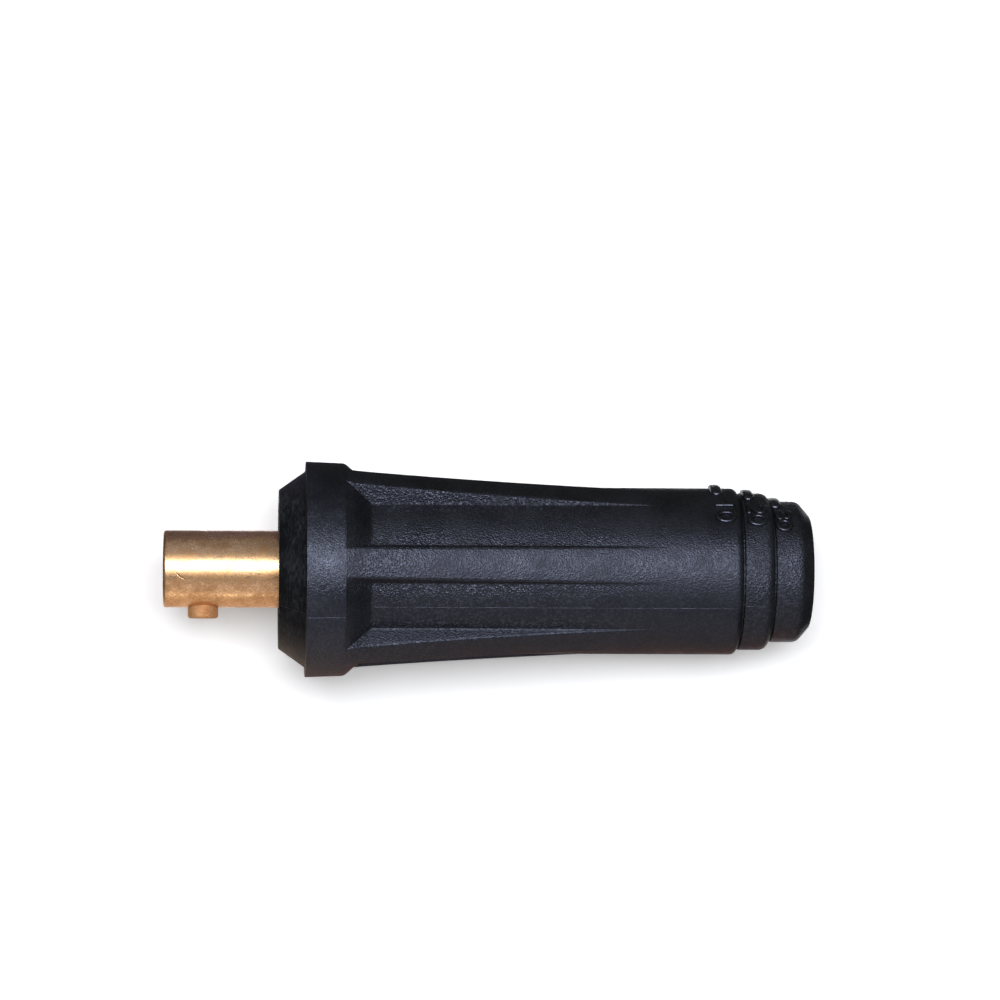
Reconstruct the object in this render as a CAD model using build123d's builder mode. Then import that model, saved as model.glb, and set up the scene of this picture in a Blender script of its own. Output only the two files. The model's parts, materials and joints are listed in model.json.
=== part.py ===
from build123d import *
import math
import os

os.makedirs("parts", exist_ok=True)

# Welding cable plug: a brass contact with a bayonet key, held in a ribbed rubber sleeve. Lengths are in mm.
# A station is a place along the plug's own axis, measured from the tip of the pin towards the tail.

# Contact: pin, hexagonal flange and barrel
pin_diameter = 13.0
pin_reach = 19.3
pin_tip_bevel = 0.5
flange_recess = 1.0
flange_across_flats = 22.0
flange_corner_cut = 0.4
flange_thickness = 4.5
flange_bevel = 0.5
barrel_diameter = 21.0
barrel_length = 37.2
barrel_bevel = 0.6

# Contact: bore for the strands of the cable
cable_bore_diameter = 12.6
cable_bore_depth = 30.0
cable_bore_mouth = 0.8
drill_point_angle = 118.0

# Bayonet key, a round pin pressed into the side of the contact pin
key_diameter = 5.1
key_station = 6.7
key_height = 1.8
key_bevel = 0.4
key_seat_depth = 9.0
key_vent_diameter = 1.6
key_fit = 0.02

# Clamp screws, each set so far in front of the barrel's back end
screw_diameter = 10.0
screw_length = 8.0
screw_bevel = 1.0
screw_recess = 0.3
screw_setbacks = {"front": 22.0, "rear": 9.5}
socket_across_flats = 5.0
socket_depth = 4.0
thread_fit = 0.05
thread_mouth = 0.4

# Copper strip that the screws press on the strands, curled round the far side of the bore
liner_thickness = 0.5
liner_wrap = 220.0
liner_front_room = 2.0
liner_back_room = 5.5
liner_fit = 0.05

# Rubber sleeve: nose cone, collar and grip body
nose_wall = 0.95
nose_rise = 3.2
nose_length = 4.5
nose_bevel = 0.4
collar_step = 1.6
collar_taper = 0.25
collar_length = 6.6
collar_bevel = 0.25
flute_end_length = 4.3
flute_end_round = 1.5
body_wall = 3.45
body_length = 61.9
body_end_bevel = 1.1

# Rubber sleeve: grip ribs
rib_count = 6
rib_turn = 4.7
rib_height = 3.6
rib_length = 55.5
rib_crest_width = 5.0
rib_draft = 8.0
rib_hollow = 0.33
rib_edge_bevel = 0.35
rib_root_depth = 2.0

# Rubber sleeve: tail steps, cut away one by one to suit the cable, with a narrow groove in front of each
middle_step_drop = 0.8
middle_step_length = 5.4
middle_step_bevel = 1.4
last_step_drop = 1.35
last_step_length = 6.9
tail_bevel_length = 2.1
tail_bevel_drop = 2.45
tail_shoulder_round = 2.0
step_groove_width = 0.3
step_groove_depth = 0.6

# Rubber sleeve: inside
flange_fit = 0.1
barrel_fit = 0.1
seat_gap = 0.1
barrel_end_room = 1.0
body_bore_radius = 9.5
middle_bore_drop = 1.1
last_bore_drop = 1.1
tail_mouth_bevel = 0.5

# Stations that follow from these sizes
flange_front = pin_reach + flange_recess
flange_back = flange_front + flange_thickness
barrel_end = flange_back + barrel_length
cable_bore_bottom = barrel_end - cable_bore_depth
liner_front = cable_bore_bottom + liner_front_room
liner_back = barrel_end - liner_back_room
collar_front = pin_reach + nose_length
collar_back = collar_front + collar_length
flute_front = collar_back + flute_end_length
seat_station = flange_back + seat_gap
body_bore_front = barrel_end + barrel_end_room
body_end = flute_front + body_length
middle_step_front = body_end + step_groove_width
middle_step_end = body_end + middle_step_length
last_step_front = middle_step_end + step_groove_width
last_step_end = middle_step_end + last_step_length

# Radii that follow from these sizes
flange_corner_radius = flange_across_flats / 2 / math.cos(math.pi / 6) - flange_corner_cut
nose_front_radius = flange_corner_radius + flange_fit + nose_wall
nose_back_radius = nose_front_radius + nose_rise
collar_front_radius = nose_back_radius + collar_step
collar_back_radius = collar_front_radius - collar_taper
barrel_bore_radius = barrel_diameter / 2 + barrel_fit
body_radius = barrel_bore_radius + body_wall
middle_step_radius = body_radius - middle_step_drop
last_step_radius = middle_step_radius - last_step_drop
middle_bore_radius = body_bore_radius - middle_bore_drop
last_bore_radius = middle_bore_radius - last_bore_drop

# Edges, each kept within the wall that it is cut from
edge_share = 0.95
nose_edge_bevel = min(nose_bevel, edge_share * nose_wall)
body_edge_bevel = min(body_end_bevel, edge_share * (middle_step_drop + step_groove_depth))
middle_edge_bevel = min(middle_step_bevel, edge_share * (last_step_drop + step_groove_depth))
tail_edge_drop = min(tail_bevel_drop, edge_share * (last_step_radius - last_bore_radius - tail_mouth_bevel))


# The plug lies on its side, on the back edges of its collar and of its body, so its axis is tilted.
rest_edge_station = body_end - body_edge_bevel
tilt = math.atan2(collar_back_radius - body_radius, rest_edge_station - collar_back)
tip_height = rest_edge_station * math.sin(tilt) + body_radius * math.cos(tilt)

# The origin lies on the surface, under the middle of the plug's length.
tip_reach = -(pin_diameter / 2 - pin_tip_bevel) * math.sin(tilt)
tail_reach = last_step_end * math.cos(tilt) + (last_step_radius - tail_edge_drop) * math.sin(tilt)
tip = Vector(-(tip_reach + tail_reach) / 2, 0, tip_height)

towards_tail = Vector(math.cos(tilt), 0, -math.sin(tilt))
upwards = Vector(math.sin(tilt), 0, math.cos(tilt))
plug_axis = Axis(tip, towards_tail)
profile_plane = Plane(origin=tip, x_dir=towards_tail, z_dir=(0, -1, 0))


def off_axis(edge):
    """Distance of an edge's middle from the axis of the plug."""
    return (edge @ 0.5 - tip).cross(towards_tail).length


def radial(turn):
    """Direction square to the axis, so many degrees from straight up towards +Y."""
    return upwards * math.cos(math.radians(turn)) + Vector(0, 1, 0) * math.sin(math.radians(turn))


def across(station, turn=0):
    """Plane square to the axis at a station, with its own x axis pointing out at the given turn."""
    return Plane(origin=tip + towards_tail * station, x_dir=radial(turn), z_dir=towards_tail)


def outwards(station, direction):
    """Plane through the axis at a station that faces out in the given direction."""
    return Plane(origin=tip + towards_tail * station, x_dir=towards_tail, z_dir=direction)


key_plane = outwards(key_station, (0, -1, 0))
key_floor = pin_diameter / 2 - key_seat_depth

with BuildPart() as contact_plug:
    # Hexagonal flange with bevelled corners
    with BuildSketch(across(flange_front)):
        RegularPolygon(radius=flange_across_flats / 2, side_count=6, major_radius=False)
    extrude(amount=flange_thickness)
    with BuildSketch(profile_plane):
        with BuildLine():
            Polyline(
                (flange_front, 0),
                (flange_front, flange_corner_radius - flange_bevel),
                (flange_front + flange_bevel, flange_corner_radius),
                (flange_back, flange_corner_radius),
                (flange_back, 0),
                close=True,
            )
        make_face()
    revolve(axis=plug_axis, mode=Mode.INTERSECT)

    # Pin and barrel, turned in one
    with BuildSketch(profile_plane):
        with BuildLine():
            Polyline(
                (flange_back, 0),
                (0, 0),
                (0, pin_diameter / 2 - pin_tip_bevel),
                (pin_tip_bevel, pin_diameter / 2),
                (flange_back, pin_diameter / 2),
                close=True,
            )
        make_face()
        with BuildLine():
            Polyline(
                (flange_back, 0),
                (flange_back, barrel_diameter / 2),
                (barrel_end - barrel_bevel, barrel_diameter / 2),
                (barrel_end, barrel_diameter / 2 - barrel_bevel),
                (barrel_end, 0),
                close=True,
            )
        make_face()
    revolve(axis=plug_axis)

    # Drilled bore for the strands, with a bevelled mouth
    drill_point = cable_bore_diameter / 2 / math.tan(math.radians(drill_point_angle / 2))
    with BuildSketch(profile_plane):
        with BuildLine():
            Polyline(
                (cable_bore_bottom - drill_point, 0),
                (cable_bore_bottom, cable_bore_diameter / 2),
                (barrel_end - cable_bore_mouth, cable_bore_diameter / 2),
                (barrel_end, cable_bore_diameter / 2 + cable_bore_mouth),
                (barrel_end, 0),
                close=True,
            )
        make_face()
    revolve(axis=plug_axis, mode=Mode.SUBTRACT)

    # Threaded cross holes, open only towards the screws, with bevelled mouths
    mouth_depth = barrel_diameter / 2 - math.sqrt((barrel_diameter / 2) ** 2 - (screw_diameter / 2) ** 2)
    for setback in screw_setbacks.values():
        hole_plane = outwards(barrel_end - setback, upwards)
        with BuildSketch(hole_plane):
            Circle(screw_diameter / 2)
        extrude(amount=barrel_diameter / 2, mode=Mode.SUBTRACT)
        with BuildSketch(hole_plane.offset(barrel_diameter / 2 - mouth_depth - thread_mouth)):
            Circle(screw_diameter / 2)
        with BuildSketch(hole_plane.offset(barrel_diameter / 2)):
            Circle(screw_diameter / 2 + thread_mouth + mouth_depth)
        loft(mode=Mode.SUBTRACT)

    # Blind seat of the key, and the small hole that vents it
    with BuildSketch(key_plane.offset(key_floor)):
        Circle(key_diameter / 2 + key_fit)
    extrude(amount=key_seat_depth, mode=Mode.SUBTRACT)
    with BuildSketch(key_plane.offset(-pin_diameter / 2)):
        Circle(key_vent_diameter / 2)
    extrude(amount=pin_diameter / 2, mode=Mode.SUBTRACT)
contact_plug.part.label = "contact_plug"
export_step(contact_plug.part, "parts/contact_plug.step")

with BuildPart() as bayonet_key:
    with BuildSketch(key_plane.offset(key_floor)):
        Circle(key_diameter / 2)
    extrude(amount=key_seat_depth + key_height)
    chamfer(bayonet_key.edges().group_by(Axis.Y)[0], key_bevel)
bayonet_key.part.label = "bayonet_key"
export_step(bayonet_key.part, "parts/bayonet_key.step")

with BuildPart() as clamp_liner:
    # The strip's middle lies opposite the screws
    liner_radius = cable_bore_diameter / 2 - liner_fit - liner_thickness / 2
    with BuildSketch(across(liner_front)):
        with BuildLine():
            CenterArc((0, 0), liner_radius, 180 - liner_wrap / 2, liner_wrap)
        trace(line_width=liner_thickness)
    extrude(amount=liner_back - liner_front)
clamp_liner.part.label = "clamp_liner"
export_step(clamp_liner.part, "parts/clamp_liner.step")

# The rim of each screw stays inside the round of the barrel.
screw_rim_radius = screw_diameter / 2 - thread_fit - screw_bevel
screw_top_radius = math.sqrt((barrel_diameter / 2) ** 2 - screw_rim_radius**2) - screw_recess
for place, setback in screw_setbacks.items():
    screw_top = outwards(barrel_end - setback, upwards).offset(screw_top_radius)
    with BuildPart() as clamp_screw:
        with BuildSketch(screw_top):
            Circle(screw_diameter / 2 - thread_fit)
        extrude(amount=-screw_length)
        chamfer(clamp_screw.edges().filter_by(GeomType.CIRCLE), screw_bevel)
        with BuildSketch(screw_top):
            RegularPolygon(radius=socket_across_flats / 2, side_count=6, major_radius=False)
        extrude(amount=-socket_depth, mode=Mode.SUBTRACT)
    clamp_screw.part.label = f"clamp_screw_{place}"
    export_step(clamp_screw.part, f"parts/clamp_screw_{place}.step")

with BuildPart() as rubber_sleeve:
    # Grip ribs: blocks with drafted sides from inside the collar to inside the body, cut to their tapered crests
    rib_run_out = collar_back + rib_length
    rib_slope = rib_height / rib_length
    block_front = (collar_front + collar_back) / 2
    block_back = (rib_run_out + body_end) / 2
    block_foot = body_radius - rib_root_depth
    block_top = body_radius + rib_height + rib_root_depth
    side_slope = math.tan(math.radians(rib_draft))
    foot_width = rib_crest_width + 2 * (body_radius + rib_height - block_foot) * side_slope
    top_width = foot_width - 2 * (block_top - block_foot) * side_slope
    rib_turns = [rib_turn + number * 360 / rib_count for number in range(rib_count)]
    with BuildSketch(*[across(block_front, turn) for turn in rib_turns]):
        Polygon(
            (block_foot, -foot_width / 2),
            (block_top, -top_width / 2),
            (block_top, top_width / 2),
            (block_foot, foot_width / 2),
            align=None,
        )
    extrude(amount=block_back - block_front)
    with BuildSketch(profile_plane):
        with BuildLine():
            crest_front = body_radius + (rib_run_out - block_front) * rib_slope
            crest_back = body_radius + (rib_run_out - block_back) * rib_slope
            crest_middle = (crest_front + crest_back) / 2 - 2 * rib_hollow
            crest = Bezier(
                (block_front, crest_front),
                ((block_front + block_back) / 2, crest_middle),
                (block_back, crest_back),
            )
            Polyline(
                crest @ 1,
                (block_back, block_top + rib_root_depth),
                (block_front, block_top + rib_root_depth),
                crest @ 0,
            )
        make_face()
    revolve(axis=plug_axis, mode=Mode.SUBTRACT)
    long_edges = rubber_sleeve.edges().filter_by(lambda edge: edge.length > rib_length)
    chamfer(long_edges.filter_by(lambda edge: off_axis(edge) > body_radius), rib_edge_bevel)

    # Nose, collar, body and tail steps: each corner of the outline, with its round
    nose_slope = nose_rise / nose_length
    middle_floor = middle_step_radius - step_groove_depth
    last_floor = last_step_radius - step_groove_depth
    outline = (
        ((pin_reach, nose_front_radius - nose_edge_bevel), 0),
        ((pin_reach + nose_edge_bevel, nose_front_radius + nose_edge_bevel * nose_slope), 0),
        ((collar_front, nose_back_radius), 0),
        ((collar_front, collar_front_radius - collar_bevel), 0),
        ((collar_front + collar_bevel, collar_front_radius), 0),
        ((collar_back, collar_back_radius), 0),
        ((flute_front, body_radius), flute_end_round),
        ((body_end - body_edge_bevel, body_radius), 0),
        ((body_end, body_radius - body_edge_bevel), 0),
        ((body_end, middle_floor), 0),
        ((middle_step_front, middle_floor), 0),
        ((middle_step_front, middle_step_radius), 0),
        ((middle_step_end - middle_edge_bevel, middle_step_radius), 0),
        ((middle_step_end, middle_step_radius - middle_edge_bevel), 0),
        ((middle_step_end, last_floor), 0),
        ((last_step_front, last_floor), 0),
        ((last_step_front, last_step_radius), 0),
        ((last_step_end - tail_bevel_length, last_step_radius), tail_shoulder_round),
        ((last_step_end, last_step_radius - tail_edge_drop), 0),
    )
    with BuildSketch(profile_plane):
        with BuildLine():
            FilletPolyline(
                (pin_reach, 0),
                *[corner for corner, _ in outline],
                (last_step_end, 0),
                radius=[edge_round for _, edge_round in outline],
            )
            Line((last_step_end, 0), (pin_reach, 0))
        make_face()
    revolve(axis=plug_axis)

    # Seat of the hexagonal flange
    with BuildSketch(across(seat_station)):
        RegularPolygon(radius=flange_across_flats / 2 + flange_fit, side_count=6, major_radius=False)
        Circle(flange_corner_radius + flange_fit, mode=Mode.INTERSECT)
    extrude(amount=-(seat_station - pin_reach), mode=Mode.SUBTRACT)

    # Bore for the barrel, and the tail bores, one for each size of cable
    with BuildSketch(profile_plane):
        with BuildLine():
            Polyline(
                (pin_reach, 0),
                (pin_reach, barrel_bore_radius),
                (body_bore_front, barrel_bore_radius),
                (body_bore_front + barrel_bore_radius - body_bore_radius, body_bore_radius),
                (body_end - body_bore_radius + middle_bore_radius, body_bore_radius),
                (body_end, middle_bore_radius),
                (middle_step_end - middle_bore_radius + last_bore_radius, middle_bore_radius),
                (middle_step_end, last_bore_radius),
                (last_step_end - tail_mouth_bevel, last_bore_radius),
                (last_step_end, last_bore_radius + tail_mouth_bevel),
                (last_step_end, 0),
                close=True,
            )
        make_face()
    revolve(axis=plug_axis, mode=Mode.SUBTRACT)
rubber_sleeve.part.label = "rubber_sleeve"
export_step(rubber_sleeve.part, "parts/rubber_sleeve.step")
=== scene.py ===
"""Looks of a welding cable plug: a brass contact in a ribbed rubber sleeve, lying on a white table.

Sizes are in millimetres, as in the CAD, and turn into metres when a point is placed. A station is a
place along the plug's own axis, measured from the tip of the pin. A turn is an angle about that axis,
from straight up towards +Y, in degrees.
"""

from __future__ import annotations

import json
import logging
import math
from dataclasses import dataclass
from enum import Enum
from typing import Mapping, Sequence

import bmesh
import bpy
import numpy as np
from mathutils import Matrix, Vector


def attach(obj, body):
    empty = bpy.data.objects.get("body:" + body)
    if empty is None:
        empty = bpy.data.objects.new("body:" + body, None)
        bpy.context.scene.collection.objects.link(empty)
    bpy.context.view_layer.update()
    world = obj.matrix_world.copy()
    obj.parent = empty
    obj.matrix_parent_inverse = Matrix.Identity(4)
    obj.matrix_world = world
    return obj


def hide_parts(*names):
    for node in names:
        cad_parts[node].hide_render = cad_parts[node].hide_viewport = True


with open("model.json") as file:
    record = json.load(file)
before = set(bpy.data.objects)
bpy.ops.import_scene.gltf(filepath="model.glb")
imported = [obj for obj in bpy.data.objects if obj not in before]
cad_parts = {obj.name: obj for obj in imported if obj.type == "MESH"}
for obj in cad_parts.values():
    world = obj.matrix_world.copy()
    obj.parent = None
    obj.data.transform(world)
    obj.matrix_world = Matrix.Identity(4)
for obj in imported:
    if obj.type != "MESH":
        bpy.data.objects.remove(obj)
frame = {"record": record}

logging.basicConfig(level=logging.INFO, format="%(levelname)s %(message)s")
log = logging.getLogger("scene")

Array = np.ndarray
Colour = tuple[float, float, float, float]
Socket = bpy.types.NodeSocket
Tree = bpy.types.NodeTree

MM = 0.001
SIDE = np.array((0.0, 1.0, 0.0))
WELD_DISTANCE = 2e-7
END_MARGIN = 0.1
ARC_STEP = 12
REACH_SHARE = 0.8


class Slot(str, Enum):
    """Material slots of the record."""

    RUBBER = "rubber"
    BRASS = "brass"
    KEY_BRASS = "key_brass"
    COPPER = "copper"
    SCREW_STEEL = "screw_steel"


class Body(str, Enum):
    """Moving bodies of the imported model."""

    SLEEVE = "sleeve"
    CONTACT = "contact"
    FRONT_SCREW = "front_screw"
    REAR_SCREW = "rear_screw"


def srgb(code: str) -> Colour:
    """Turns a colour written as sRGB hex into the linear colour that a shader takes.

    Args:
        code: Six hex digits after a hash sign.

    Returns:
        Linear red, green and blue, and an alpha of one.
    """
    parts = [int(code[i : i + 2], 16) / 255 for i in (1, 3, 5)]
    red, green, blue = (p / 12.92 if p <= 0.04045 else ((p + 0.055) / 1.055) ** 2.4 for p in parts)
    return red, green, blue, 1.0


# Geometry


@dataclass(frozen=True)
class PlugAxis:
    """The plug's own axis in the row frame.

    Attributes:
        tip: Centre of the pin's front face, in metres.
        towards_tail: Unit vector along the axis.
    """

    tip: Array
    towards_tail: Array

    @property
    def upwards(self) -> Array:
        """Unit vector square to the axis, nearest to straight up."""
        along, _, rise = self.towards_tail
        return np.array((-rise, 0.0, along))

    def spot(self, station: Array, aside: Array, up: Array) -> Array:
        """Places points given by lengths along the axis, towards +Y and upwards.

        Args:
            station: Lengths along the axis from the tip, in mm.
            aside: Lengths towards +Y from the axis, in mm.
            up: Lengths upwards from the axis, in mm.

        Returns:
            Points in metres, with the three coordinates last.
        """
        station, aside, up = np.broadcast_arrays(station, aside, up)
        reach = station[..., None] * self.towards_tail + aside[..., None] * SIDE + up[..., None] * self.upwards
        return self.tip + MM * reach

    def place(self, station: Array, radius: Array, turn: Array) -> Array:
        """Places points in metres by their stations and radii in mm and their turns in degrees."""
        angle = np.radians(turn)
        return self.spot(station, radius * np.sin(angle), radius * np.cos(angle))


def find_axis() -> PlugAxis:
    """Reads the axis from the contact pin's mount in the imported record."""
    mount = next(m for m in frame["record"]["mounts"] if m["name"] == "contact_pin")
    return PlugAxis(np.array(mount["pos_m"]), -np.array(mount["axis"]))


def add_object(name: str, data: bpy.types.ID) -> bpy.types.Object:
    """Adds an object to the scene, at the origin.

    Args:
        name: Name of the object.
        data: Its mesh, light or camera.

    Returns:
        The new object.
    """
    made = bpy.data.objects.new(name, data)
    bpy.context.scene.collection.objects.link(made)
    return made


def add_panel(name: str, corners: Array, look: bpy.types.Material) -> bpy.types.Object:
    """Adds a flat panel with four corners.

    Args:
        name: Name of the panel.
        corners: The corners in order, in metres.
        look: Material.

    Returns:
        The new object.
    """
    mesh = bpy.data.meshes.new(name)
    mesh.from_pydata(corners.tolist(), [], [(0, 1, 2, 3)])
    mesh.materials.append(look)
    return add_object(name, mesh)


def add_mesh(
    name: str, points: Array, quads: Array, marks: Mapping[str, Array] | None = None, crisp: float | None = None
) -> bpy.types.Object:
    """Adds a smooth closed mesh, with its faces turned outwards.

    Points that meet are welded, so a row on a pole or a seam closes.

    Args:
        name: Name of the object.
        points: Points in metres, one a row.
        quads: Indices of the four corners of each face.
        marks: Values for each point, kept as named float attributes.
        crisp: Angle in degrees over which an edge is shaded sharp, or None.

    Returns:
        The new object, at the origin.
    """
    mesh = bpy.data.meshes.new(name)
    mesh.from_pydata(points.tolist(), [], quads.tolist())
    for mark, values in (marks or {}).items():
        layer = mesh.attributes.new(mark, "FLOAT", "POINT")
        layer.data.foreach_set("value", values.reshape(-1).astype(np.float32))
    work = bmesh.new()
    work.from_mesh(mesh)
    bmesh.ops.remove_doubles(work, verts=work.verts, dist=WELD_DISTANCE)
    bmesh.ops.recalc_face_normals(work, faces=work.faces)
    work.to_mesh(mesh)
    work.free()
    mesh.polygons.foreach_set("use_smooth", np.ones(len(mesh.polygons), dtype=bool))
    if crisp is not None:
        mesh.set_sharp_from_angle(angle=math.radians(crisp))
    return add_object(name, mesh)


def grid_quads(rows: int, columns: int, rows_close: bool = False, columns_close: bool = True) -> Array:
    """Lists the faces between the points of a grid.

    Args:
        rows: Number of rows of points.
        columns: Number of points in each row.
        rows_close: Whether the last row joins the first one.
        columns_close: Whether each row closes into a ring.

    Returns:
        Indices of the four corners of each face.
    """
    index = np.arange(rows * columns).reshape(rows, columns)
    if columns_close:
        index = np.hstack((index, index[:, :1]))
    if rows_close:
        index = np.vstack((index, index[:1]))
    return np.stack((index[:-1, :-1], index[:-1, 1:], index[1:, 1:], index[1:, :-1]), axis=-1).reshape(-1, 4)


def add_grid(
    name: str,
    points: Array,
    rows_close: bool = False,
    marks: Mapping[str, Array] | None = None,
    crisp: float | None = None,
) -> bpy.types.Object:
    """Adds a closed surface whose rows are rings. Unless the last joins the first, the end ones are poles."""
    quads = grid_quads(points.shape[0], points.shape[1], rows_close)
    return add_mesh(name, points.reshape(-1, 3), quads, marks, crisp)


def join_grids(grids: Sequence[tuple[Array, bool]]) -> tuple[Array, Array]:
    """Lists the points and faces of several grids as one mesh.

    Args:
        grids: Points of each grid, and whether its rows close into rings.

    Returns:
        All points, one a row, and the indices of the corners of each face.
    """
    points, quads, used = [], [], 0
    for grid, columns_close in grids:
        points.append(grid.reshape(-1, 3))
        quads.append(grid_quads(grid.shape[0], grid.shape[1], columns_close=columns_close) + used)
        used += len(points[-1])
    return np.vstack(points), np.vstack(quads)


def straight(start: Array, end: Array, spacing: float) -> Array:
    """Divides a straight part of an outline, with one narrow step at each end to keep the shading crisp.

    Args:
        start: First point.
        end: Last point.
        spacing: Longest step, in mm.

    Returns:
        Points between the two ends, which are left out.
    """
    length = float(np.linalg.norm(end - start))
    margin = min(END_MARGIN, length / 4)
    steps = np.linspace(0, 1, max(1, math.ceil(length / spacing)) + 1)[1:-1]
    shares = np.concatenate(([margin / max(length, 1e-9)], steps, [1 - margin / max(length, 1e-9)]))
    shares = np.unique(shares.round(6))
    return start + (end - start) * shares[:, None]


def rounded_outline(corners: Sequence[tuple[float, float, float]], spacing: float = 1.5) -> Array:
    """Draws an outline of straight parts whose corners are rounded by true arcs.

    Args:
        corners: Station, radius and edge round of each corner, in mm. The two end rounds aren't used.
        spacing: Longest step on a straight part, in mm.

    Returns:
        Station and radius of each point along the outline.
    """
    ends = np.array([corner[:2] for corner in corners], dtype=float)
    parts = [ends[:1]]
    leave = ends[0]
    for before, corner, after, (_, _, edge_round) in zip(ends, ends[1:], ends[2:], corners[1:]):
        back, ahead = before - corner, after - corner
        back_length, ahead_length = np.linalg.norm(back), np.linalg.norm(ahead)
        back, ahead = back / back_length, ahead / ahead_length
        half = math.acos(float(np.clip(back @ ahead, -1, 1))) / 2
        room = REACH_SHARE * min(np.linalg.norm(leave - corner), ahead_length)
        reach = min(edge_round / math.tan(half), room)
        centre = corner + (back + ahead) / np.linalg.norm(back + ahead) * reach / math.cos(half)
        sweep = math.pi - 2 * half
        shares = np.linspace(0, 1, max(3, math.ceil(math.degrees(sweep) / ARC_STEP)) + 1)[:, None]
        arc = np.sin((1 - shares) * sweep) * (corner + back * reach - centre)
        arc = centre + (arc + np.sin(shares * sweep) * (corner + ahead * reach - centre)) / math.sin(sweep)
        parts += [straight(leave, arc[0], spacing), arc]
        leave = arc[-1]
    parts += [straight(leave, ends[-1], spacing), ends[-1:]]
    return np.vstack(parts)


def bend(start: Array, corner: Array, end: Array, shares: Array) -> Array:
    """Gives points of a curve that leaves start towards corner and arrives at end from it, at each share."""
    return start * (1 - shares) ** 2 + corner * 2 * shares * (1 - shares) + end * shares**2


@dataclass(frozen=True)
class Hexagon:
    """Hexagon whose corners are cut by a circle, and lie at nought, sixty degrees and so on.

    Attributes:
        across_flats: Distance between opposite sides, in mm.
        corner_radius: Radius of the circle, in mm.
    """

    across_flats: float
    corner_radius: float

    def radius(self, turn: Array) -> Array:
        """Gives the radius in mm at each angle in degrees."""
        from_flat = np.radians((np.asarray(turn) % 60) - 30)
        return np.minimum(self.across_flats / 2 / np.cos(from_flat), self.corner_radius)

    def turns(self, corner_steps: int, side_steps: int) -> Array:
        """Spaces the columns of a grid so that the corners and sides each have their own.

        Args:
            corner_steps: Number of columns over each corner.
            side_steps: Number of columns between two corners.

        Returns:
            Angles in degrees.
        """
        half_corner = 30 - math.degrees(math.acos(min(1.0, self.across_flats / 2 / self.corner_radius)))
        corner = np.linspace(-half_corner, half_corner, corner_steps)
        side = np.linspace(half_corner, 60 - half_corner, side_steps + 2)[1:-1]
        sixth = np.concatenate((corner, side))
        return np.concatenate([sixth + 60 * number for number in range(6)])


def triangle_wave(phase: Array) -> Array:
    """Gives a wave of straight flanks from nought to one, whose period is one."""
    return np.abs(2 * (phase % 1) - 1)


def finish_piece(piece: bpy.types.Object, body: Body, slot: Slot, look: bpy.types.Material, *nodes: str) -> None:
    """Gives a piece its material and body, and lets it stand for CAD nodes.

    Args:
        piece: The new object.
        body: Body that it rides on.
        slot: Material slot of the record; not used.
        look: Material.
        *nodes: CAD nodes that it stands for.
    """
    piece.data.materials.append(look)
    if nodes:
        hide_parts(*nodes)
    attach(piece, body.value)
    log.info("%s: %d faces", piece.name, len(piece.data.polygons))


# Materials


def add_node(
    tree: Tree, kind: str, inputs: Mapping[str | int, object] | None = None, **settings: object
) -> bpy.types.Node:
    """Adds a shader node with its settings, values and links.

    Args:
        tree: Node tree of the material or world.
        kind: Type of node, without the ShaderNode that each begins with.
        inputs: Value or output socket for each input, by name or number.
        **settings: Attributes of the node.

    Returns:
        The new node.
    """
    node = tree.nodes.new(f"ShaderNode{kind}")
    for name, value in settings.items():
        setattr(node, name, value)
    for key, value in (inputs or {}).items():
        if isinstance(value, Socket):
            tree.links.new(value, node.inputs[key])
        else:
            node.inputs[key].default_value = value
    return node


def new_tree(material: bpy.types.Material) -> Tree:
    """Turns nodes on for a material and empties its tree.

    Args:
        material: The material.

    Returns:
        The empty node tree.
    """
    material.use_nodes = True
    material.node_tree.nodes.clear()
    return material.node_tree


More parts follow.
